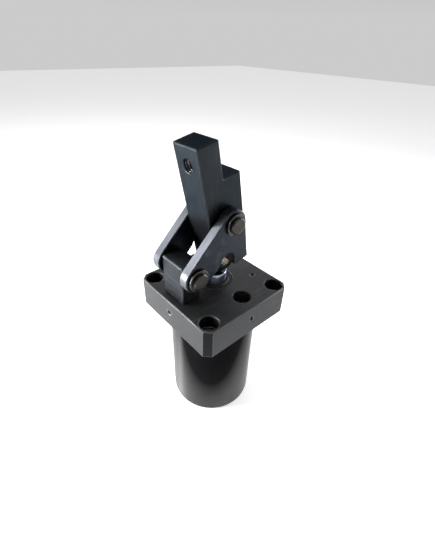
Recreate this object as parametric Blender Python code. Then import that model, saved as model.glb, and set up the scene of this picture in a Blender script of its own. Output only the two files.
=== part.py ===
"""Lever clamp cylinder: a flanged fluid cylinder whose rod swings a clamp arm on a pair of links.

The origin is the centre of the mounting flange's outline, at the height of the cylinder's bottom face.
+Z is the rod's direction, the arm reaches towards -Y and every hinge turns about +X. Sizes are in metres.
At rest the rod is down and the arm stands open.
"""

import math

import bmesh
import bpy
from mathutils import Matrix, Vector

# Fits
GAP = 0.0003

# Mounting flange
FLANGE_SIDE = 0.070
FLANGE_THICKNESS = 0.0207
FLANGE_CORNER_CUT = 0.0041
BOLT_PITCH = 0.0556
BOLT_HOLE_RADIUS = 0.0034
BOLT_HEAD_RADIUS = 0.0058
BOLT_HEAD_DEPTH = 0.0090
RIM_CHAMFER = 0.0005
PORT_PLACE = (0.0233, 0.0029)
PORT_RADIUS = 0.0057
PORT_DEPTH = 0.0145
TOP_PLUG_PLACE = (0.0115, 0.0250)
SIDE_PLUG_DROP = 0.0089
SIDE_PLUG_SHIFT = 0.0008
FRONT_PLUG_SHIFT = -0.0016
PLUG_RADIUS = 0.0015
PLUG_LENGTH = 0.0040

# Cylinder, about the rod axis
AXIS_X = -0.0025
AXIS_Y = 0.0025
TUBE_LENGTH = 0.0850
TUBE_RADIUS = 0.0302
BORE_RADIUS = 0.0200
SPIGOT_RADIUS = 0.0230
SPIGOT_LENGTH = 0.0060
STROKE = 0.0330
ROD_RADIUS = 0.0085
ROD_SHOULDER = 0.0080
CAP_RADIUS = 0.0220
CAP_FROM = 0.0045
CAP_TO = 0.0137
PISTON_FROM = 0.0143
PISTON_TO = 0.0343
GUIDE_FROM = 0.0830
GUIDE_TO = 0.0962
STEM_RADIUS = 0.0060
SEAL_POCKET_RADIUS = 0.0125
GUIDE_POCKET_RADIUS = 0.0115

# Linkage, seen from the side: (y, z) from the rod axis and the flange's top face
FULCRUM = (-0.0270, 0.0205)
ARM_PIVOT = (-0.0003, 0.0466)
ROD_EYE = (0.0, 0.0190)
ARM_HALF_WIDTH = 0.00965
LINK_INNER = 0.0105
LINK_OUTER = 0.0166
LINK_LOBE = 0.0085
PIN_RADIUS = 0.0050
PIN_REACH = 0.0198
ROD_PIN_RADIUS = 0.0035
TONGUE_HALF_WIDTH = 0.0040
TONGUE_RADIUS = 0.0065
PIVOT_PLAY = 0.0028
PLAY_SHIFT = (0.00135, -0.0023)
BLOCK_FRONT = -0.0330
BLOCK_BACK = -0.0195
BLOCK_HEIGHT = 0.0265
BLOCK_SCREW_PLACE = (0.0055, -0.0285)
BLOCK_SCREW_RADIUS = 0.0025
BLOCK_SCREW_HEAD_RADIUS = 0.00425
LINK_NOTCH = (-0.0040, 0.0232)
LINK_NOTCH_RADIUS = 0.0054
LINK_FRONT_LIP = (-0.0150, 0.0182)
LINK_TAIL = ((0.0016, 0.0187), (0.0125, 0.0212), (0.0108, 0.0300))
CLIP_GROOVE = (0.0169, 0.0183)
CLIP_GROOVE_DEPTH = 0.0008

# Clamp arm, in its own leaning frame about the rod eye: u backwards, v along the arm
ARM_LEAN = math.radians(11.6)
ARM_FRONT = -0.0077
ARM_STEP_BACK = 0.0065
ARM_BACK = 0.0187
ARM_TIP = 0.0731
ARM_STEP = 0.0522
ARM_HEEL = 0.0220
ARM_FORK_DEPTH = 0.0088
TIP_HOLE_RADIUS = 0.0037
TIP_HOLE_DROP = 0.0107

FLANGE_BOTTOM = TUBE_LENGTH + GAP
FLANGE_TOP = FLANGE_BOTTOM + FLANGE_THICKNESS


def clear_scene():
    for old in list(bpy.data.objects):
        bpy.data.objects.remove(old)


def material(name, colour, metallic, roughness):
    made = bpy.data.materials.new(name)
    made.use_nodes = True
    shader = made.node_tree.nodes["Principled BSDF"]
    shader.inputs["Base Color"].default_value = (*colour, 1.0)
    shader.inputs["Metallic"].default_value = metallic
    shader.inputs["Roughness"].default_value = roughness
    made.diffuse_color = (*colour, 1.0)
    return made


def arc(centre, radius, start, stop, steps):
    """Points on a circle from one angle to another, in degrees."""
    turned_by = [math.radians(start + (stop - start) * i / steps) for i in range(steps + 1)]
    return [(centre[0] + radius * math.cos(a), centre[1] + radius * math.sin(a)) for a in turned_by]


def mechanism(y, z):
    """World (y, z) of a place measured from the rod axis and the flange's top face."""
    return AXIS_Y + y, FLANGE_TOP + z


def arm_point(u, v):
    """World (y, z) of a place in the arm's leaning frame."""
    y = u * math.cos(ARM_LEAN) - v * math.sin(ARM_LEAN)
    z = u * math.sin(ARM_LEAN) + v * math.cos(ARM_LEAN)
    return mechanism(ROD_EYE[0] + y, ROD_EYE[1] + z)


def keep(bm, name, finish, origin=(0.0, 0.0, 0.0)):
    """Turns a bmesh in world coordinates into an object whose origin is at the given point."""
    bmesh.ops.recalc_face_normals(bm, faces=bm.faces)
    bmesh.ops.translate(bm, verts=bm.verts, vec=-Vector(origin))
    mesh = bpy.data.meshes.new(name)
    bm.to_mesh(mesh)
    bm.free()
    mesh.shade_smooth()
    mesh.set_sharp_from_angle(angle=math.radians(32))
    made = bpy.data.objects.new(name, mesh)
    made.location = origin
    if finish:
        mesh.materials.append(finish)
    bpy.context.scene.collection.objects.link(made)
    return made


def extruded(name, outline, start, stop, finish, along="X", origin=(0.0, 0.0, 0.0)):
    """A prism: an outline in (y, z) carried along X, or one in (x, y) carried along Z."""
    bm = bmesh.new()
    if along == "X":
        corners = [bm.verts.new((start, a, b)) for a, b in outline]
        travel = (stop - start, 0.0, 0.0)
    else:
        corners = [bm.verts.new((a, b, start)) for a, b in outline]
        travel = (0.0, 0.0, stop - start)
    face = bm.faces.new(corners)
    grown = bmesh.ops.extrude_face_region(bm, geom=[face])
    moved = [item for item in grown["geom"] if isinstance(item, bmesh.types.BMVert)]
    bmesh.ops.translate(bm, verts=moved, vec=travel)
    return keep(bm, name, finish, origin)


def turned(
    name,
    profile,
    finish,
    centre=(AXIS_X, AXIS_Y, 0.0),
    along="Z",
    steps=36,
    ring=False,
    origin=(0.0, 0.0, 0.0),
):
    """A turned piece. The profile is (radius, height) points; a ring's profile closes on itself."""
    bm = bmesh.new()
    corners = [bm.verts.new((radius, 0.0, height)) for radius, height in profile]
    edges = [bm.edges.new(pair) for pair in zip(corners, corners[1:])]
    if ring:
        edges.append(bm.edges.new((corners[-1], corners[0])))
    bmesh.ops.spin(
        bm, geom=edges, axis=(0, 0, 1), cent=(0, 0, 0), angle=math.tau, steps=steps, use_merge=True
    )
    bmesh.ops.remove_doubles(bm, verts=bm.verts, dist=1e-6)
    if along == "X":
        bmesh.ops.rotate(bm, verts=bm.verts, matrix=Matrix.Rotation(math.pi / 2, 3, "Y"))
    if along == "Y":
        bmesh.ops.rotate(bm, verts=bm.verts, matrix=Matrix.Rotation(math.pi / 2, 3, "X"))
    bmesh.ops.translate(bm, verts=bm.verts, vec=centre)
    return keep(bm, name, finish, origin)


def bevelled(piece, width, segments=2):
    bevel = piece.modifiers.new("edge break", "BEVEL")
    bevel.width = width
    bevel.segments = segments
    bevel.limit_method = "ANGLE"
    bevel.angle_limit = math.radians(50)
    return piece


def combined(piece, tool, operation="DIFFERENCE"):
    """Cuts a piece with a hidden tool, or joins the tool to it."""
    tool.hide_render = True
    tool.display_type = "WIRE"
    step = piece.modifiers.new(tool.name, "BOOLEAN")
    step.operation = operation
    step.object = tool
    return piece


def rod_profile(radius, low, high):
    """A plain solid cylinder's profile."""
    return [(0.0, high), (radius, high), (radius, low), (0.0, low)]


def plain_ring(name, inner, outer, low, high, finish):
    profile = [(inner, high), (outer, high), (outer, low), (inner, low)]
    return turned(name, profile, finish, ring=True)


def o_ring(name, radius, thickness, height, finish):
    profile = arc((radius, height), thickness, 0, 315, 7)
    return turned(name, profile, finish, ring=True, steps=32)


def drilled_across(piece, name, radius, place):
    """A hole along X at a side-view place, right through the piece."""
    centre = (AXIS_X, *mechanism(*place))
    return combined(piece, turned(name, rod_profile(radius, -0.03, 0.03), None, centre, "X", 28))


def socket_plug(name, place, turn, finish, flange):
    """A small screw plug with a hexagon socket, sunk in its own hole in the flange.

    It is made pointing along +Z from its opening, then turned to point into the flange.
    """
    mouth, sunk, socket_depth = -0.001, 0.0006, 0.0016
    foot = sunk + PLUG_LENGTH
    shapes = (
        (name + "_hole", rod_profile(PLUG_RADIUS + GAP, mouth, foot + GAP), 24),
        (name, rod_profile(PLUG_RADIUS, sunk, foot), 24),
        (name + "_socket", rod_profile(0.6 * PLUG_RADIUS, mouth, sunk + socket_depth), 6),
    )
    pieces = []
    for label, profile, steps in shapes:
        made = turned(label, profile, finish, (0, 0, 0), "Z", steps)
        made.data.transform(Matrix.Translation(place) @ turn)
        pieces.append(made)
    hole, plug, socket = pieces
    combined(flange, hole)
    return combined(plug, socket)


def mounting_flange(steel):
    half, cut = FLANGE_SIDE / 2, FLANGE_CORNER_CUT
    outline = []
    for turn in range(4):
        a = turn * math.pi / 2
        for x, y in ((half, -half + cut), (half, half - cut)):
            outline.append((x * math.cos(a) - y * math.sin(a), x * math.sin(a) + y * math.cos(a)))
    flange = extruded("mounting_flange", outline, FLANGE_BOTTOM, FLANGE_TOP, steel, along="Z")
    bevelled(flange, 0.0005, 1)
    seat = FLANGE_BOTTOM + SPIGOT_LENGTH
    rod_way = [
        (0.0, FLANGE_TOP + 0.001),
        (SEAL_POCKET_RADIUS, FLANGE_TOP + 0.001),
        (SEAL_POCKET_RADIUS, FLANGE_TOP - 0.004),
        (0.0090, FLANGE_TOP - 0.004),
        (0.0090, FLANGE_TOP - 0.0055),
        (SEAL_POCKET_RADIUS, FLANGE_TOP - 0.0055),
        (SEAL_POCKET_RADIUS, FLANGE_TOP - 0.0095),
        (GUIDE_POCKET_RADIUS, FLANGE_TOP - 0.0095),
        (GUIDE_POCKET_RADIUS, seat),
        (SPIGOT_RADIUS + GAP, seat),
        (SPIGOT_RADIUS + GAP, FLANGE_BOTTOM - 0.001),
        (0.0, FLANGE_BOTTOM - 0.001),
    ]
    combined(flange, turned("rod_way", rod_way, None))
    bolt_hole = [
        (0.0, FLANGE_TOP + 0.001),
        (BOLT_HEAD_RADIUS + RIM_CHAMFER + 0.001, FLANGE_TOP + 0.001),
        (BOLT_HEAD_RADIUS, FLANGE_TOP - RIM_CHAMFER),
        (BOLT_HEAD_RADIUS, FLANGE_TOP - BOLT_HEAD_DEPTH),
        (BOLT_HOLE_RADIUS, FLANGE_TOP - BOLT_HEAD_DEPTH),
        (BOLT_HOLE_RADIUS, FLANGE_BOTTOM - 0.001),
        (0.0, FLANGE_BOTTOM - 0.001),
    ]
    for i, (sx, sy) in enumerate(((-1, -1), (1, -1), (1, 1), (-1, 1))):
        place = (sx * BOLT_PITCH / 2, sy * BOLT_PITCH / 2, 0.0)
        combined(flange, turned(f"bolt_hole_{i}", bolt_hole, None, place, steps=32))
    port = [
        (0.0, FLANGE_TOP + 0.001),
        (PORT_RADIUS + RIM_CHAMFER + 0.001, FLANGE_TOP + 0.001),
        (PORT_RADIUS, FLANGE_TOP - RIM_CHAMFER),
        (PORT_RADIUS, FLANGE_TOP - PORT_DEPTH),
        (0.0, FLANGE_TOP - PORT_DEPTH - 0.002),
    ]
    combined(flange, turned("port_hole", port, None, (*PORT_PLACE, 0.0), steps=32))
    shank, head = BLOCK_SCREW_RADIUS + GAP, BLOCK_SCREW_HEAD_RADIUS + GAP
    screw_way = [
        (0.0, FLANGE_TOP + 0.001),
        (shank, FLANGE_TOP + 0.001),
        (shank, FLANGE_BOTTOM + 0.0057),
        (head, FLANGE_BOTTOM + 0.0057),
        (head, FLANGE_BOTTOM - 0.001),
        (0.0, FLANGE_BOTTOM - 0.001),
    ]
    for side, word in ((-1, "left"), (1, "right")):
        combined(flange, turned(f"screw_way_{word}", screw_way, None, block_screw_centre(side), steps=24))
    return flange


def cylinder_tube(steel):
    seat = TUBE_LENGTH + SPIGOT_LENGTH
    groove = TUBE_LENGTH + 0.0020
    profile = [
        (BORE_RADIUS, seat),
        (SPIGOT_RADIUS, seat),
        (SPIGOT_RADIUS, groove + 0.0024),
        (0.0213, groove + 0.0024),
        (0.0213, groove),
        (SPIGOT_RADIUS, groove),
        (SPIGOT_RADIUS, TUBE_LENGTH),
        (TUBE_RADIUS - 0.0004, TUBE_LENGTH),
        (TUBE_RADIUS, TUBE_LENGTH - 0.0004),
        (TUBE_RADIUS, 0.0012),
        (TUBE_RADIUS - 0.0004, 0.0004),
        (TUBE_RADIUS - 0.0012, 0.0),
        (CAP_RADIUS + GAP, 0.0),
        (CAP_RADIUS + GAP, 0.0023),
        (CAP_RADIUS + 0.0016, 0.0023),
        (CAP_RADIUS + 0.0016, 0.0043),
        (CAP_RADIUS + GAP, 0.0043),
        (CAP_RADIUS + GAP, 0.0140),
        (BORE_RADIUS, 0.0140),
    ]
    return turned("cylinder_tube", profile, steel, ring=True, steps=60)


def end_cap(steel):
    groove = CAP_FROM + 0.0035
    profile = [
        (0.0, CAP_TO),
        (CAP_RADIUS, CAP_TO),
        (CAP_RADIUS, groove + 0.0026),
        (CAP_RADIUS - 0.0018, groove + 0.0026),
        (CAP_RADIUS - 0.0018, groove),
        (CAP_RADIUS, groove),
        (CAP_RADIUS, CAP_FROM),
        (0.0028, CAP_FROM),
        (0.0025, CAP_FROM + 0.0003),
        (0.0025, CAP_FROM + 0.0055),
        (0.0, CAP_FROM + 0.0065),
    ]
    return turned("end_cap", profile, steel)


def open_ring(outer, inner, start, stop, steps=24):
    """Outline of a ring with an opening, about (0, 0)."""
    return arc((0, 0), outer, start, stop, steps) + arc((0, 0), inner, stop, start, steps)


def retaining_ring(steel):
    outline = [(AXIS_X + x, AXIS_Y + y) for x, y in open_ring(0.0233, 0.0203, 15, 345, 40)]
    return extruded("end_cap_retaining_ring", outline, 0.0026, 0.0040, steel, along="Z")


def piston(steel):
    profile = [
        (STEM_RADIUS + GAP, PISTON_TO),
        (0.0192, PISTON_TO),
        (0.0197, PISTON_TO - 0.0005),
        (0.0197, 0.0305),
        (0.0165, 0.0305),
        (0.0165, 0.0260),
        (0.0197, 0.0260),
        (0.0197, 0.0225),
        (0.0180, 0.0225),
        (0.0180, 0.0185),
        (0.0197, 0.0185),
        (0.0197, PISTON_FROM),
        (0.0112, PISTON_FROM),
        (0.0112, 0.0223),
        (STEM_RADIUS + GAP, 0.0223),
    ]
    return turned("piston", profile, steel, ring=True)


def piston_rod(chrome):
    """Rod with a threaded stem through the piston and a flat tongue at the top that carries the rod pin."""
    eye_y, eye_z = mechanism(*ROD_EYE)
    shoulder = FLANGE_TOP + ROD_SHOULDER
    origin = (AXIS_X, AXIS_Y, FLANGE_TOP)
    profile = [
        (0.0, shoulder),
        (ROD_RADIUS - 0.0011, shoulder),
        (ROD_RADIUS - 0.0004, shoulder - 0.0004),
        (ROD_RADIUS, shoulder - 0.0012),
        (ROD_RADIUS, PISTON_TO + GAP),
        (STEM_RADIUS, PISTON_TO + GAP),
        (STEM_RADIUS, 0.0153),
        (STEM_RADIUS - 0.0006, 0.0147),
        (0.0, 0.0147),
    ]
    rod = turned("piston_rod", profile, chrome, origin=origin)
    outline = arc((eye_y, eye_z), TONGUE_RADIUS, 0, 180, 16)
    outline += [(eye_y - TONGUE_RADIUS, shoulder - 0.002), (eye_y + TONGUE_RADIUS, shoulder - 0.002)]
    sides = (AXIS_X - TONGUE_HALF_WIDTH, AXIS_X + TONGUE_HALF_WIDTH)
    combined(rod, extruded("rod_tongue", outline, *sides, chrome), "UNION")
    return drilled_across(rod, "rod_eye_bore", ROD_PIN_RADIUS + GAP, ROD_EYE)


def block_screw_centre(side):
    x, y = BLOCK_SCREW_PLACE
    return (AXIS_X + side * x, AXIS_Y + y, 0.0)


def fulcrum_block(steel):
    corners = ((BLOCK_FRONT, GAP), (BLOCK_BACK, GAP), (BLOCK_BACK, BLOCK_HEIGHT), (BLOCK_FRONT, BLOCK_HEIGHT))
    outline = [mechanism(y, z) for y, z in corners]
    block = extruded("fulcrum_block", outline, AXIS_X - ARM_HALF_WIDTH, AXIS_X + ARM_HALF_WIDTH, steel)
    bevelled(block, 0.0006, 1)
    drilled_across(block, "fulcrum_bore", PIN_RADIUS + GAP, FULCRUM)
    hole = rod_profile(BLOCK_SCREW_RADIUS + GAP, FLANGE_TOP - 0.001, FLANGE_TOP + 0.0130)
    for side, word in ((-1, "left"), (1, "right")):
        combined(block, turned(f"block_thread_{word}", hole, None, block_screw_centre(side), steps=24))
    return block


def cap_screw(name, side, finish):
    centre = block_screw_centre(side)
    head_low, head_high, tip = FLANGE_BOTTOM + GAP, FLANGE_BOTTOM + 0.0054, FLANGE_TOP + 0.0126
    profile = [
        (0.0, tip),
        (BLOCK_SCREW_RADIUS - 0.0005, tip),
        (BLOCK_SCREW_RADIUS, tip - 0.0005),
        (BLOCK_SCREW_RADIUS, head_high),
        (BLOCK_SCREW_HEAD_RADIUS, head_high),
        (BLOCK_SCREW_HEAD_RADIUS, head_low + 0.0003),
        (BLOCK_SCREW_HEAD_RADIUS - 0.0003, head_low),
        (0.0, head_low),
    ]
    screw = turned(name, profile, finish, centre, steps=24)
    socket = rod_profile(0.0023, head_low - 0.001, head_low + 0.0026)
    return combined(screw, turned(name + "_socket", socket, None, centre, steps=6))


def link_outline():
    """Side view of a link: lobes on the two pins, a straight front edge, a tail corner and a notch."""
    (ay, az), (by, bz) = FULCRUM, ARM_PIVOT
    normal = math.degrees(math.atan2(bz - az, by - ay)) + 90
    outline = arc(FULCRUM, LINK_LOBE, normal, 310, 16)
    outline += [LINK_FRONT_LIP]
    outline += arc(LINK_NOTCH, LINK_NOTCH_RADIUS, 170, -5, 12)
    outline += LINK_TAIL
    outline += arc(ARM_PIVOT, LINK_LOBE, 0, normal, 14)
    return [mechanism(y, z) for y, z in outline]


def link_plate(name, side, steel):
    origin = (AXIS_X, *mechanism(*FULCRUM))
    sides = sorted((AXIS_X + side * LINK_INNER, AXIS_X + side * LINK_OUTER))
    plate = extruded(name, link_outline(), *sides, steel, origin=origin)
    bevelled(plate, 0.0004, 1)
    drilled_across(plate, name + "_fulcrum_bore", PIN_RADIUS + GAP, FULCRUM)
    return drilled_across(plate, name + "_pivot_bore", PIN_RADIUS + GAP, ARM_PIVOT)


def hinge_pin(name, place, finish):
    """A plain pin with a groove for a clip near each end."""
    groove_from, groove_to = CLIP_GROOVE
    floor, chamfer = PIN_RADIUS - CLIP_GROOVE_DEPTH, 0.0006
    half = [
        (0.0, PIN_REACH),
        (PIN_RADIUS - chamfer, PIN_REACH),
        (PIN_RADIUS, PIN_REACH - chamfer),
        (PIN_RADIUS, groove_to),
        (floor, groove_to),
        (floor, groove_from),
        (PIN_RADIUS, groove_from),
    ]
    profile = half + [(radius, -height) for radius, height in reversed(half)]
    centre = (AXIS_X, *mechanism(*place))
    return turned(name, profile, finish, centre, "X", 28, origin=centre)


def pin_clip(name, place, side, finish):
    """An open spring ring in a pin's groove, its opening turned down."""
    centre = (AXIS_X, *mechanism(*place))
    outline = [(centre[1] + y, centre[2] + z) for y, z in open_ring(0.0068, 0.0045, -55, 235, 20)]
    groove_from, groove_to = CLIP_GROOVE
    sides = sorted((AXIS_X + side * (groove_from + 0.0002), AXIS_X + side * (groove_to - 0.0002)))
    return extruded(name, outline, *sides, finish, origin=centre)


def rod_pin(finish):
    """The pin through the rod's tongue and the arm, held in by the link plates."""
    reach, chamfer = LINK_INNER - GAP, 0.0004
    profile = [
        (0.0, reach),
        (ROD_PIN_RADIUS - chamfer, reach),
        (ROD_PIN_RADIUS, reach - chamfer),
        (ROD_PIN_RADIUS, chamfer - reach),
        (ROD_PIN_RADIUS - chamfer, -reach),
        (0.0, -reach),
    ]
    centre = (AXIS_X, *mechanism(*ROD_EYE))
    return turned("rod_pin", profile, finish, centre, "X", 24, origin=centre)


def clamp_arm(steel):
    """The arm is an eye on the rod pin, a body, and a narrower upper part behind its flat front face."""
    local = [(ARM_FRONT, ARM_TIP)]
    local += arc((0, 0), -ARM_FRONT, 180, 330, 14)
    local += [(ARM_BACK, ARM_HEEL), (ARM_BACK, ARM_STEP), (ARM_STEP_BACK, ARM_STEP), (ARM_STEP_BACK, ARM_TIP)]
    origin = (AXIS_X, *mechanism(*ROD_EYE))
    sides = (AXIS_X - ARM_HALF_WIDTH, AXIS_X + ARM_HALF_WIDTH)
    arm = extruded("clamp_arm", [arm_point(u, v) for u, v in local], *sides, steel, origin=origin)
    bevelled(arm, 0.0006, 1)
    slot_half = TONGUE_HALF_WIDTH + GAP
    corners = ((-0.02, -0.02), (0.03, -0.02), (0.03, ARM_FORK_DEPTH), (-0.02, ARM_FORK_DEPTH))
    slot = [arm_point(u, v) for u, v in corners]
    combined(arm, extruded("arm_fork_slot", slot, AXIS_X - slot_half, AXIS_X + slot_half, None))
    drilled_across(arm, "arm_rod_bore", ROD_PIN_RADIUS + GAP, ROD_EYE)
    play = (ARM_PIVOT[0] + PLAY_SHIFT[0], ARM_PIVOT[1] + PLAY_SHIFT[1])
    drilled_across(arm, "arm_pivot_bore", PIN_RADIUS + GAP + PIVOT_PLAY, play)
    rim, beyond = TIP_HOLE_RADIUS + 0.0006, 0.002
    reach = (ARM_STEP_BACK - ARM_FRONT) / 2 + 0.0001
    half = [
        (0.0, reach + beyond),
        (rim + beyond, reach + beyond),
        (rim, reach),
        (TIP_HOLE_RADIUS, reach - 0.0006),
    ]
    hole = half + [(radius, -height) for radius, height in reversed(half)]
    tool = turned("tip_hole", hole, None, (0, 0, 0), "Y", 28)
    tool.data.transform(Matrix.Rotation(ARM_LEAN, 4, "X"))
    middle = arm_point((ARM_FRONT + ARM_STEP_BACK) / 2, ARM_TIP - TIP_HOLE_DROP)
    tool.data.transform(Matrix.Translation((AXIS_X, *middle)))
    return combined(arm, tool)


def rod_guide(bronze):
    profile = [
        (ROD_RADIUS + GAP, GUIDE_TO),
        (0.0112, GUIDE_TO),
        (0.0112, TUBE_LENGTH + SPIGOT_LENGTH),
        (0.0197, TUBE_LENGTH + SPIGOT_LENGTH),
        (0.0197, GUIDE_FROM),
        (ROD_RADIUS + GAP, GUIDE_FROM),
    ]
    return turned("rod_guide", profile, bronze, ring=True, steps=40)


def rod_wiper(rubber):
    profile = [
        (ROD_RADIUS + GAP, FLANGE_TOP + 0.0007),
        (ROD_RADIUS + 0.0009, FLANGE_TOP + 0.0007),
        (ROD_RADIUS + 0.0015, FLANGE_TOP - 0.0004),
        (0.0122, FLANGE_TOP - 0.0004),
        (0.0122, FLANGE_TOP - 0.0037),
        (ROD_RADIUS + GAP, FLANGE_TOP - 0.0037),
    ]
    return turned("rod_wiper", profile, rubber, ring=True)


def piston_nut(steel):
    """A hexagon nut on the rod's stem, sunk in the piston's underside."""
    outline = [(AXIS_X + x, AXIS_Y + y) for x, y in arc((0, 0), 0.0098, 0, 300, 5)]
    nut = extruded("piston_nut", outline, 0.0150, 0.0220, steel, along="Z")
    bore = turned("nut_bore", rod_profile(STEM_RADIUS + GAP, 0.014, 0.023), None, steps=32)
    return combined(nut, bore)


def build():
    clear_scene()
    black_steel = material("black_steel", (0.030, 0.032, 0.036), 0.6, 0.42)
    link_steel = material("link_steel", (0.045, 0.052, 0.065), 0.7, 0.36)
    tube_steel = material("tube_steel", (0.012, 0.012, 0.013), 0.6, 0.22)
    chrome = material("chrome", (0.62, 0.66, 0.72), 1.0, 0.10)
    pin_steel = material("pin_steel", (0.16, 0.15, 0.14), 0.9, 0.30)
    bright_steel = material("bright_steel", (0.45, 0.45, 0.46), 0.9, 0.35)
    bronze = material("bronze", (0.42, 0.25, 0.10), 0.9, 0.38)
    rubber = material("rubber", (0.015, 0.015, 0.015), 0.0, 0.65)

    flange = mounting_flange(black_steel)
    half = FLANGE_SIDE / 2
    side_height = FLANGE_TOP - SIDE_PLUG_DROP
    down = Matrix.Rotation(math.pi, 4, "X")
    leftward = Matrix.Rotation(-math.pi / 2, 4, "Y")
    backward = Matrix.Rotation(-math.pi / 2, 4, "X")
    socket_plug("top_passage_plug", (*TOP_PLUG_PLACE, FLANGE_TOP), down, black_steel, flange)
    socket_plug("side_passage_plug", (half, SIDE_PLUG_SHIFT, side_height), leftward, black_steel, flange)
    socket_plug("front_passage_plug", (FRONT_PLUG_SHIFT, -half, side_height), backward, black_steel, flange)
    fulcrum_block(black_steel)
    cap_screw("block_screw_left", -1, bright_steel)
    cap_screw("block_screw_right", 1, bright_steel)

    cylinder_tube(tube_steel)
    o_ring("tube_o_ring", 0.0222, 0.0008, TUBE_LENGTH + 0.0032, rubber)
    end_cap(bright_steel)
    o_ring("end_cap_o_ring", 0.0213, 0.0009, CAP_FROM + 0.0048, rubber)
    retaining_ring(bright_steel)
    rod_guide(bronze)
    seal_radius = SEAL_POCKET_RADIUS - GAP
    plain_ring("rod_seal", ROD_RADIUS + GAP, seal_radius, FLANGE_TOP - 0.0092, FLANGE_TOP - 0.0058, rubber)
    rod_wiper(rubber)

    piston_rod(chrome)
    piston(bright_steel)
    plain_ring("piston_seal", 0.0168, 0.0198, 0.0263, 0.0302, rubber)
    plain_ring("piston_wear_ring", 0.0183, 0.0198, 0.0188, 0.0222, bronze)
    spacer_top = GUIDE_FROM - GAP - STROKE
    plain_ring("stroke_spacer", ROD_RADIUS + GAP, 0.0120, PISTON_TO + GAP, spacer_top, bright_steel)
    piston_nut(bright_steel)

    clamp_arm(black_steel)
    rod_pin(pin_steel)
    hinge_pin("fulcrum_pin", FULCRUM, pin_steel)
    hinge_pin("arm_pivot_pin", ARM_PIVOT, pin_steel)
    for side, word in ((-1, "left"), (1, "right")):
        link_plate(f"link_plate_{word}", side, link_steel)
        pin_clip(f"fulcrum_clip_{word}", FULCRUM, side, bright_steel)
        pin_clip(f"arm_pivot_clip_{word}", ARM_PIVOT, side, bright_steel)


build()
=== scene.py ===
"""Link clamp cylinder: materials, finer pieces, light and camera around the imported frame."""

import math

import bmesh
import bpy
from mathutils import Matrix, Vector


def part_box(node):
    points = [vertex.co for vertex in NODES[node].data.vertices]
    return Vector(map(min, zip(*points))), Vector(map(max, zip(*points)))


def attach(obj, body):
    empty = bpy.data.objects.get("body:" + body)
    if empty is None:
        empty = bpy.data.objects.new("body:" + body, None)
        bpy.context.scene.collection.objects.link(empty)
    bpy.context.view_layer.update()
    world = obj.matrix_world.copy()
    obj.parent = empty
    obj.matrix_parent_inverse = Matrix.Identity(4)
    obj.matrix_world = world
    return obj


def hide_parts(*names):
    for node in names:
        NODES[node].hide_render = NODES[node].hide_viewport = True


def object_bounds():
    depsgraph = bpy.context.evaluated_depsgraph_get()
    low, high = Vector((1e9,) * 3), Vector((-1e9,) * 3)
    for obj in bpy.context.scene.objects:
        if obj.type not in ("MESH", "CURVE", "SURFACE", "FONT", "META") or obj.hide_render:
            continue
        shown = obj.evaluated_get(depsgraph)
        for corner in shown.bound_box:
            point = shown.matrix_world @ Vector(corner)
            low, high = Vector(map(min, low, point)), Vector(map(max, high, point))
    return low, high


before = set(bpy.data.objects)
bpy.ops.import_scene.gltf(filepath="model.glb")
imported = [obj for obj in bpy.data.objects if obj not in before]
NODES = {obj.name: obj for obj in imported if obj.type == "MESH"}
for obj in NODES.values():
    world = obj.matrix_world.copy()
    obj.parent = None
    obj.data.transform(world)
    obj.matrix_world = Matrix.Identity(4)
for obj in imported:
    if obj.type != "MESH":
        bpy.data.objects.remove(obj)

CAD_BOX = [list(corner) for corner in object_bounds()]
FLANGE_LOW, FLANGE_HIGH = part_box("mounting_flange")
TUBE_LOW, TUBE_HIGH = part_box("cylinder_tube")
AXIS = ((TUBE_LOW.x + TUBE_HIGH.x) / 2, (TUBE_LOW.y + TUBE_HIGH.y) / 2)
TUBE_RADIUS = (TUBE_HIGH.x - TUBE_LOW.x) / 2
TOP = FLANGE_HIGH.z
BOTTOM = FLANGE_LOW.z

# Shading
SMOOTH_LIMIT = math.radians(33)         # edges flatter than this are shaded smooth
WELD = 1e-6                             # points closer than this are joined before shading
PATCH_SCALE = 45.0                      # blotches in the steel
CLOUD_SCALE = PATCH_SCALE * 0.27        # wide, soft changes of tone
GRAIN_SCALE = 700.0                     # grinding lines
PIT_SCALE = 1500.0
SHADE_REACH = 0.007                     # how near a wall has to be for the painted shade in holes and corners to begin
SHADER_SAMPLES = 6                      # rays of the edge and painted-shade masks
STEEL_BUMP = 0.00003
TUBE_BUMP = 0.00002
RUBBER_BUMP = 0.00005

# The cylinder's body
TUBE_STEPS = 160
TUBE_BORE = 0.0200
SPIGOT_RADIUS = 0.0230
LIP_RADIUS = 0.0223
LIP_HEIGHT = 0.0140
SHELF_GAP = 0.0003

# Threads
THREAD_STEPS = 28                       # sections in one turn
THREAD_RUNOUT = 6.0                     # the ends fade out over 1/6 of the length
LEAST_DEPTH = 0.05                      # share of the depth that is left at the ends
PORT_CENTRE = (0.0233, 0.0029, 0.0)
PORT_THREAD = {"radius": 0.00568, "depth": 0.0007, "pitch": 0.0013, "low": TOP - 0.0125, "high": TOP - 0.0012}
TIP_THREAD = {"radius": 0.00368, "depth": 0.0005, "pitch": 0.00125, "low": -0.0062, "high": 0.0052}
ARM_LEAN = math.radians(11.6)
EYE_HEIGHT = TOP + 0.0190               # the rod pin, which the arm turns on
TIP_HOLE = (0.0, -0.0006, 0.0624)       # from the rod pin, along the arm

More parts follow.
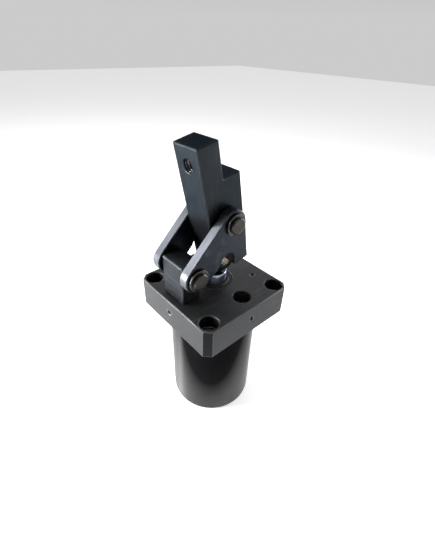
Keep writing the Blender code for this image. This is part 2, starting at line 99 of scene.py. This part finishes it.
# Studio
FLOOR_SIZE = 3.0
FLOOR_GLOW = 0.5
FLOOR_GAP = 0.0002                      # keeps the floor clear of the object's underside
LIGHT_TARGET = Vector((0.0, 0.0, 0.10))
LIGHTS = (
    # name, azimuth, elevation, distance, width, height, power
    ("key_left", -47, 36, 1.0, 0.30, 0.30, 3.8),
    ("low_left", -80, 5, 0.45, 0.30, 0.16, 1.3),
    ("strip_left", -31, 9, 0.55, 0.06, 0.30, 6.0),
    ("top", 0, 88, 1.6, 1.8, 1.8, 5.0),
    ("back_left", -150, 24, 0.8, 0.40, 0.20, 0.55),
    ("back_high", -125, 44, 1.0, 0.60, 0.35, 1.1),
    ("back_right", 160, 7, 0.6, 0.20, 0.18, 2.4),
)
SKY = {"From Min": 0.05, "From Max": 0.55, "To Min": 0.60, "To Max": 0.22}   # brightness by height

# Camera, as fitted to the photo
VIEW_AZIMUTH, VIEW_ELEVATION, VIEW_ROLL = math.radians(47.045), math.radians(35.217), math.radians(2.223)
VIEW_TARGET = Vector((0.000735, 0.00231, TOP + 0.00931))
VIEW_DISTANCE = 0.21028
LENS, SENSOR = 21.715, 36.0


def outward(azimuth, elevation):
    """The direction at these angles, in radians. Azimuth 0 is in front, on -Y, and 90 degrees is +X."""
    return Vector((math.sin(azimuth) * math.cos(elevation), -math.cos(azimuth) * math.cos(elevation),
                   math.sin(elevation)))


# Materials

class Tree:
    """A material's node tree, with short calls to add and join nodes."""

    def __init__(self, name):
        self.material = bpy.data.materials.new(name)
        self.material.use_nodes = True
        self.nodes = self.material.node_tree.nodes
        self.links = self.material.node_tree.links
        self.shader = self.nodes["Principled BSDF"]
        source = self.nodes.new("ShaderNodeTexCoord")
        self.where, self.facing = source.outputs["Object"], source.outputs["Normal"]

    def join(self, value, socket):
        if isinstance(value, bpy.types.NodeSocket):
            self.links.new(value, socket)
        else:
            socket.default_value = value

    def noise(self, scale, detail=3.0, roughness=0.55, stretch=(1, 1, 1)):
        place = self.nodes.new("ShaderNodeMapping")
        place.inputs["Scale"].default_value = stretch
        self.links.new(self.where, place.inputs["Vector"])
        made = self.nodes.new("ShaderNodeTexNoise")
        made.inputs["Scale"].default_value = scale
        made.inputs["Detail"].default_value = detail
        made.inputs["Roughness"].default_value = roughness
        self.links.new(place.outputs["Vector"], made.inputs["Vector"])
        return made.outputs["Fac"]

    def ramp(self, value, low, high, to_low=0.0, to_high=1.0):
        made = self.nodes.new("ShaderNodeMapRange")
        self.join(value, made.inputs["Value"])
        for label, number in (("From Min", low), ("From Max", high), ("To Min", to_low), ("To Max", to_high)):
            made.inputs[label].default_value = number
        return made.outputs["Result"]

    def math(self, kind, a, b):
        made = self.nodes.new("ShaderNodeMath")
        made.operation = kind
        self.join(a, made.inputs[0])
        self.join(b, made.inputs[1])
        return made.outputs[0]

    def add(self, a, b):
        return self.math("ADD", a, b)

    def times(self, a, b):
        return self.math("MULTIPLY", a, b)

    def mix(self, factor, a, b):
        made = self.nodes.new("ShaderNodeMix")
        made.data_type = "RGBA"
        self.join(factor, made.inputs["Factor"])
        for value, label in ((a, "A"), (b, "B")):
            socket = [s for s in made.inputs if s.name == label and s.type == "RGBA"][0]
            self.join((*value, 1.0) if isinstance(value, tuple) else value, socket)
        return [s for s in made.outputs if s.type == "RGBA"][0]

    def edge(self, radius, low=0.02, high=0.25):
        """(rounded normal, mask that is 1 on the sharp edges)."""
        bevel = self.nodes.new("ShaderNodeBevel")
        bevel.samples = SHADER_SAMPLES
        bevel.inputs["Radius"].default_value = radius
        flat = self.nodes.new("ShaderNodeNewGeometry")
        dot = self.nodes.new("ShaderNodeVectorMath")
        dot.operation = "DOT_PRODUCT"
        self.links.new(bevel.outputs["Normal"], dot.inputs[0])
        self.links.new(flat.outputs["Normal"], dot.inputs[1])
        turned = self.math("SUBTRACT", 1.0, dot.outputs["Value"])
        return bevel.outputs["Normal"], self.ramp(turned, low, high)

    def sideways(self):
        """The sizes of the surface normal's X and Y."""
        split = self.nodes.new("ShaderNodeSeparateXYZ")
        self.links.new(self.facing, split.inputs[0])
        return [self.math("ABSOLUTE", split.outputs[axis], 0.0) for axis in "XY"]

    def hollow(self, distance):
        """1 in the open, falling to 0 deep in a hole or corner."""
        made = self.nodes.new("ShaderNodeAmbientOcclusion")
        made.samples = SHADER_SAMPLES
        made.inputs["Distance"].default_value = distance
        return made.outputs["AO"]

    def bump(self, height, strength, distance, normal=None):
        made = self.nodes.new("ShaderNodeBump")
        made.inputs["Strength"].default_value = strength
        made.inputs["Distance"].default_value = distance
        self.links.new(height, made.inputs["Height"])
        if normal is not None:
            self.links.new(normal, made.inputs["Normal"])
        return made.outputs["Normal"]

    def finish(self, **values):
        for label, value in values.items():
            socket = self.shader.inputs[label.replace("_", " ")]
            self.join((*value, 1.0) if isinstance(value, tuple) else value, socket)
        return self.material


def steel(name, dark, light, worn, metallic=1.0, roughness=0.34, grain=(1, 1, 1), edge=0.0004, wear=0.5,
          spread=0.12, rim=None, corner=None, tint=(1.0, 1.0, 1.0)):
    """Blackened or bare steel: blotches, fine grinding lines, pits, edges worn bright and strengthened as a
    painted highlight, and painted shade in hollows.

    rim is the colour of faces that look along X least: partly ground bare steel, partly a painted sheen. corner
    is a painted shade: the darker colour of the chamfers between X and Y.
    """
    t = Tree(name)
    blotch = t.noise(PATCH_SCALE, 5.0, 0.6)
    cloud = t.noise(CLOUD_SCALE, 2.0, 0.5)
    lines = t.noise(GRAIN_SCALE, 2.0, 0.6, grain)
    pits = t.noise(PIT_SCALE, 2.0, 0.7)
    rounded, sharp = t.edge(edge)
    tone = t.ramp(t.add(t.times(blotch, 0.6), t.times(cloud, 0.4)), 0.35, 0.65)
    body = t.mix(tone, dark, light)
    body = t.mix(t.ramp(lines, 0.55, 0.85, 0.0, 0.10), body, worn)
    # sharp edges take the bright worn colour: partly real wear, partly a painted highlight
    worn_and_highlit_edge = t.times(sharp, t.ramp(blotch, 0.3, 0.6, 0.35, 1.0))
    across, along = t.sideways()
    # faces that look along X least take the rim colour: partly ground bare steel, partly a painted sheen
    if rim:
        body = t.mix(t.times(t.ramp(across, 0.5, 0.1), t.ramp(blotch, 0.3, 0.6, 0.7, 1.0)), body, rim)
    # painted shade: the chamfers between X and Y faces are darkened
    if corner:
        body = t.mix(t.ramp(t.times(across, along), 0.25, 0.45), body, corner)
    # painted shade: the colour darkens towards this near-black deep in holes, corners and gaps between parts
    painted_shade = tuple(0.12 * part for part in dark)
    body = t.mix(t.ramp(t.hollow(SHADE_REACH), 0.60, 0.20, 0.0, 0.85), body, painted_shade)
    colour = t.mix(t.times(worn_and_highlit_edge, wear), body, worn)
    rough = t.add(t.ramp(blotch, 0.3, 0.7, roughness - spread / 2, roughness + spread / 2),
                  t.ramp(lines, 0.3, 0.7, -0.05, 0.05))
    rough = t.math("SUBTRACT", rough, t.times(worn_and_highlit_edge, 0.08))
    height = t.add(t.times(lines, 0.7), t.times(pits, 0.3))
    normal = t.bump(height, 0.12, STEEL_BUMP, rounded)
    return t.finish(Base_Color=colour, Metallic=metallic, Roughness=rough, Normal=normal, Specular_Tint=tint)


def gloss_black(name):
    """Turned tube: dark and glossy, with fine rings round it that draw each highlight out along it."""
    t = Tree(name)
    rings = t.noise(900.0, 2.0, 0.6, (0.02, 0.02, 1.0))
    cloud = t.noise(28.0, 3.0, 0.55)
    rub = t.noise(160.0, 3.0, 0.6, (1.0, 1.0, 0.15))
    rounded, sharp = t.edge(0.0008)
    body = t.mix(t.ramp(cloud, 0.3, 0.7), (0.0035, 0.0035, 0.0042), (0.0065, 0.0065, 0.0075))
    body = t.mix(t.ramp(rub, 0.6, 0.8, 0.0, 0.10), body, (0.05, 0.05, 0.052))
    colour = t.mix(t.times(sharp, 0.4), body, (0.20, 0.20, 0.21))
    rough = t.add(t.ramp(cloud, 0.3, 0.7, 0.36, 0.40), t.ramp(rings, 0.3, 0.7, -0.02, 0.02))
    tangent = t.nodes.new("ShaderNodeTangent")
    tangent.direction_type = "RADIAL"
    tangent.axis = "Z"
    normal = t.bump(rings, 0.05, TUBE_BUMP, rounded)
    facing = t.nodes.new("ShaderNodeLayerWeight").outputs["Facing"]
    gloss = t.ramp(facing, 0.42, 0.85, 0.02, 1.2)
    return t.finish(Base_Color=colour, Metallic=0.0, Roughness=rough, Normal=normal, Specular_IOR_Level=gloss,
                    Anisotropic=0.9, Anisotropic_Rotation=0.25, Tangent=tangent.outputs["Tangent"])


def rubber(name):
    t = Tree(name)
    grain = t.noise(1800.0, 3.0, 0.6)
    dust = t.noise(120.0, 4.0, 0.6)
    colour = t.mix(t.ramp(dust, 0.45, 0.75), (0.010, 0.010, 0.011), (0.035, 0.034, 0.032))
    return t.finish(Base_Color=colour, Roughness=t.ramp(dust, 0.3, 0.7, 0.55, 0.75),
                    Normal=t.bump(grain, 0.3, RUBBER_BUMP))


# the flange's corner colour is a painted shade on its chamfers
BLACK = steel("flange_black_oxide", (0.037, 0.038, 0.040), (0.054, 0.055, 0.058), (0.50, 0.51, 0.53),
              metallic=0.85, roughness=0.54, grain=(1, 0.06, 1), edge=0.0008, wear=0.9,
              corner=(0.006, 0.007, 0.010))
BLOCK = steel("block_black_oxide", (0.018, 0.020, 0.023), (0.030, 0.033, 0.038), (0.50, 0.51, 0.53),
              metallic=0.85, roughness=0.42, grain=(0.06, 1, 0.4), edge=0.0008, wear=0.9,
              tint=(0.60, 0.62, 0.66))
ARM = steel("arm_black_oxide", (0.020, 0.023, 0.026), (0.032, 0.036, 0.040), (0.20, 0.21, 0.23),
            roughness=0.42, grain=(1, 1, 0.05), edge=0.0008, wear=0.6, tint=(0.36, 0.38, 0.40))
# rim: the plates' edge faces, partly ground steel and partly a painted sheen
LINK = steel("link_blued_steel", (0.008, 0.011, 0.017), (0.020, 0.025, 0.034), (0.50, 0.53, 0.58),
             metallic=0.85, grain=(1, 0.10, 0.10), edge=0.0008, wear=0.6, rim=(0.075, 0.081, 0.092))
TUBE = gloss_black("tube_gloss_black")
CHROME = steel("rod_hard_chrome", (0.34, 0.39, 0.50), (0.50, 0.56, 0.66), (0.80, 0.84, 0.90),
               roughness=0.14, grain=(0.05, 0.05, 1), wear=0.3, spread=0.08)
PIN = steel("pin_dark_steel", (0.020, 0.019, 0.018), (0.055, 0.050, 0.045), (0.50, 0.46, 0.40),
            roughness=0.28, grain=(0.05, 1, 1), edge=0.0006, wear=0.55)
# painted light: the pale brown stands in for a warm reflection, and for light that the pin does not get in the
# plates' shadow
ROD_PIN = steel("rod_pin_painted_warm_light", (0.72, 0.60, 0.48), (0.88, 0.78, 0.66), (0.94, 0.90, 0.84),
                roughness=0.26, grain=(0.05, 1, 1), edge=0.0005, wear=0.8)
BRIGHT = steel("machined_steel", (0.26, 0.26, 0.27), (0.42, 0.42, 0.43), (0.70, 0.70, 0.71),
               grain=(0.1, 0.1, 1))
CLIP = steel("clip_spring_steel", (0.030, 0.030, 0.032), (0.070, 0.068, 0.066), (0.40, 0.39, 0.37),
             metallic=0.95, edge=0.0003, wear=0.6)
BRONZE = steel("bearing_bronze", (0.30, 0.17, 0.06), (0.46, 0.28, 0.11), (0.70, 0.48, 0.24),
               grain=(0.1, 0.1, 1), wear=0.4)
THREAD = steel("thread_cut_steel", (0.10, 0.10, 0.105), (0.20, 0.20, 0.21), (0.60, 0.60, 0.62),
               metallic=0.95, roughness=0.30, edge=0.0002, wear=0.8)
DARK_THREAD = steel("thread_black_oxide", (0.008, 0.008, 0.009), (0.020, 0.020, 0.022), (0.30, 0.30, 0.32),
                    metallic=0.95, edge=0.0002)
RUBBER = rubber("seal_rubber")

FINISH = {
    "mounting_flange": BLACK,
    "fulcrum_block": BLOCK,
    "clamp_arm": ARM,
    "cylinder_tube": TUBE,
    "piston_rod": CHROME,
    "rod_pin": ROD_PIN,
    **dict.fromkeys(("link_plate_left", "link_plate_right"), LINK),
    **dict.fromkeys(("fulcrum_pin", "arm_pivot_pin"), PIN),
    **dict.fromkeys(("rod_guide", "piston_wear_ring"), BRONZE),
    **dict.fromkeys(("top_passage_plug", "side_passage_plug", "front_passage_plug", "fulcrum_clip_left",
                     "fulcrum_clip_right", "arm_pivot_clip_left", "arm_pivot_clip_right"), CLIP),
    **dict.fromkeys(("rod_seal", "rod_wiper", "piston_seal", "tube_o_ring", "end_cap_o_ring"), RUBBER),
}


def smooth_by_angle(limit):
    """A modifier group that joins split points and shades every edge under the limit smooth."""
    group = bpy.data.node_groups.new("smooth_by_angle", "GeometryNodeTree")
    group.interface.new_socket("Geometry", in_out="INPUT", socket_type="NodeSocketGeometry")
    group.interface.new_socket("Geometry", in_out="OUTPUT", socket_type="NodeSocketGeometry")
    nodes, links = group.nodes, group.links
    start, end = nodes.new("NodeGroupInput"), nodes.new("NodeGroupOutput")
    clear = nodes.new("GeometryNodeRemoveAttribute")
    clear.inputs["Name"].default_value = "custom_normal"
    weld = nodes.new("GeometryNodeMergeByDistance")
    weld.inputs["Distance"].default_value = WELD
    angle = nodes.new("GeometryNodeInputMeshEdgeAngle")
    small = nodes.new("FunctionNodeCompare")
    small.operation = "LESS_THAN"
    small.inputs[1].default_value = limit
    faces = nodes.new("GeometryNodeSetShadeSmooth")
    faces.domain = "FACE"
    edges = nodes.new("GeometryNodeSetShadeSmooth")
    edges.domain = "EDGE"
    links.new(start.outputs[0], clear.inputs[0])
    links.new(clear.outputs[0], weld.inputs[0])
    links.new(weld.outputs[0], faces.inputs[0])
    links.new(faces.outputs[0], edges.inputs[0])
    links.new(angle.outputs["Unsigned Angle"], small.inputs[0])
    links.new(small.outputs[0], edges.inputs["Shade Smooth"])
    links.new(edges.outputs[0], end.inputs[0])
    return group


SMOOTH = smooth_by_angle(SMOOTH_LIMIT)
for name, node in NODES.items():
    node.data.materials.clear()
    node.data.materials.append(FINISH.get(name, BRIGHT))
    node.modifiers.new("smooth", "NODES").node_group = SMOOTH


# Finer pieces

def keep(bm, name, finish, body, replaced=()):
    """Make a finished bmesh into a piece that rides on a body."""
    bmesh.ops.recalc_face_normals(bm, faces=bm.faces)
    mesh = bpy.data.meshes.new(name)
    bm.to_mesh(mesh)
    bm.free()
    mesh.shade_smooth()
    mesh.set_sharp_from_angle(angle=SMOOTH_LIMIT)
    piece = bpy.data.objects.new(name, mesh)
    mesh.materials.append(finish)
    bpy.context.scene.collection.objects.link(piece)
    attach(piece, body)
    if replaced:
        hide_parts(*replaced)


def lathe(profile, steps):
    """A turned shape about Z at the origin, from a closed row of (radius, height) points."""
    bm = bmesh.new()
    corners = [bm.verts.new((r, 0.0, z)) for r, z in profile]
    edges = [bm.edges.new(pair) for pair in zip(corners, corners[1:])]
    edges.append(bm.edges.new((corners[-1], corners[0])))
    bmesh.ops.spin(bm, geom=edges, axis=(0, 0, 1), cent=(0, 0, 0), angle=math.tau, steps=steps, use_merge=True)
    bmesh.ops.remove_doubles(bm, verts=bm.verts, dist=1e-7)
    return bm


def tube():
    """The cylinder's body with fine edges, a shallow relief under the flange and a rolled lower rim."""
    r = TUBE_RADIUS
    foot = TUBE_LOW.z
    shelf = BOTTOM - SHELF_GAP
    profile = [
        (TUBE_BORE, TUBE_HIGH.z), (SPIGOT_RADIUS, TUBE_HIGH.z), (SPIGOT_RADIUS, shelf),
        (r - 0.0010, shelf), (r - 0.0004, shelf - 0.0003), (r, shelf - 0.0010),
        (r, foot + 0.0016), (r - 0.0002, foot + 0.0009), (r - 0.0006, foot + 0.0004), (r - 0.0014, foot),
        (LIP_RADIUS, foot), (LIP_RADIUS, foot + LIP_HEIGHT), (TUBE_BORE, foot + LIP_HEIGHT),
    ]
    bm = lathe(profile, TUBE_STEPS)
    bmesh.ops.translate(bm, verts=bm.verts, vec=(*AXIS, 0.0))
    keep(bm, "tube_body", TUBE, "housing", ["cylinder_tube"])


def thread(radius, depth, pitch, low, high, placing):
    """An internal thread: one helical ridge with closed ends, set just inside a hole's wall."""
    bm = bmesh.new()
    count = int(THREAD_STEPS * (high - low) / pitch)
    ring = []
    for i in range(count + 1):
        a, z = math.tau * i / THREAD_STEPS, low + pitch * i / THREAD_STEPS
        taper = min(1.0, THREAD_RUNOUT * i / count, THREAD_RUNOUT * (count - i) / count)
        crest = radius - depth * max(taper, LEAST_DEPTH)
        section = ((radius, z), (crest, z + 0.30 * pitch), (crest, z + 0.42 * pitch), (radius, z + 0.72 * pitch))
        ring.append([bm.verts.new((r * math.cos(a), r * math.sin(a), h)) for r, h in section])
    for near, far in zip(ring, ring[1:]):
        for i in range(4):
            bm.faces.new((near[i], near[(i + 1) % 4], far[(i + 1) % 4], far[i]))
    bm.faces.new(ring[0])
    bm.faces.new(ring[-1])
    bm.transform(placing)
    return bm


def threads():
    """The port's pipe thread, and the thread in the arm's tip hole."""
    port = thread(**PORT_THREAD, placing=Matrix.Translation(PORT_CENTRE))
    keep(port, "port_thread", DARK_THREAD, "housing")
    eye = Vector((AXIS[0], AXIS[1], EYE_HEIGHT))
    middle = eye + Matrix.Rotation(ARM_LEAN, 3, "X") @ Vector(TIP_HOLE)
    turn = Matrix.Rotation(ARM_LEAN, 4, "X") @ Matrix.Rotation(math.radians(-90), 4, "X")
    tip = thread(**TIP_THREAD, placing=Matrix.Translation(middle) @ turn)
    keep(tip, "arm_tip_thread", THREAD, "clamp_arm")


tube()
threads()


# Floor, light and camera

def floor():
    t = Tree("studio_floor")
    grain = t.noise(3.0, 2.0, 0.5)
    colour = t.mix(grain, (0.90, 0.90, 0.90), (0.93, 0.93, 0.93))
    finish = t.finish(Base_Color=colour, Roughness=0.9, Emission_Color=(1.0, 1.0, 1.0),
                      Emission_Strength=FLOOR_GLOW)
    bm = bmesh.new()
    bmesh.ops.create_grid(bm, x_segments=8, y_segments=8, size=FLOOR_SIZE)
    mesh = bpy.data.meshes.new("studio_floor")
    bm.to_mesh(mesh)
    bm.free()
    mesh.materials.append(finish)
    made = bpy.data.objects.new("studio_floor", mesh)
    made.location.z = CAD_BOX[0][2] - FLOOR_GAP
    bpy.context.scene.collection.objects.link(made)


def softbox(name, azimuth, elevation, distance, width, height, power):
    """A rectangular light that faces the target, with its angles in degrees."""
    out = outward(math.radians(azimuth), math.radians(elevation))
    data = bpy.data.lights.new(name, "AREA")
    data.shape = "RECTANGLE"
    data.size, data.size_y = width, height
    data.energy = power
    made = bpy.data.objects.new(name, data)
    made.location = LIGHT_TARGET + out * distance
    made.rotation_euler = out.to_track_quat("Z", "Y").to_euler()
    bpy.context.scene.collection.objects.link(made)


def sky():
    """A pale world, brightest at the horizon."""
    world = bpy.data.worlds.new("studio")
    world.use_nodes = True
    nodes, links = world.node_tree.nodes, world.node_tree.links
    split = nodes.new("ShaderNodeSeparateXYZ")
    glow = nodes.new("ShaderNodeMapRange")
    for label, number in SKY.items():
        glow.inputs[label].default_value = number
    links.new(nodes.new("ShaderNodeTexCoord").outputs["Generated"], split.inputs[0])
    links.new(split.outputs["Z"], glow.inputs["Value"])
    links.new(glow.outputs["Result"], nodes["Background"].inputs["Strength"])
    nodes["Background"].inputs["Color"].default_value = (1.0, 1.0, 1.0, 1.0)
    bpy.context.scene.world = world


def camera():
    back = outward(VIEW_AZIMUTH, VIEW_ELEVATION)
    right = Vector((math.cos(VIEW_AZIMUTH), math.sin(VIEW_AZIMUTH), 0.0))
    up = back.cross(right)
    across = right * math.cos(VIEW_ROLL) + up * math.sin(VIEW_ROLL)
    upward = up * math.cos(VIEW_ROLL) - right * math.sin(VIEW_ROLL)
    data = bpy.data.cameras.new("camera")
    data.lens = LENS
    data.sensor_width = SENSOR
    data.clip_start, data.clip_end = 0.01, 20.0
    made = bpy.data.objects.new("camera", data)
    place = VIEW_TARGET + back * VIEW_DISTANCE
    made.matrix_world = Matrix.Translation(place) @ Matrix((across, upward, back)).transposed().to_4x4()
    bpy.context.scene.collection.objects.link(made)
    bpy.context.scene.camera = made


floor()
sky()
for light in LIGHTS:
    softbox(*light)
camera()
bpy.context.scene.view_settings.view_transform = "Standard"
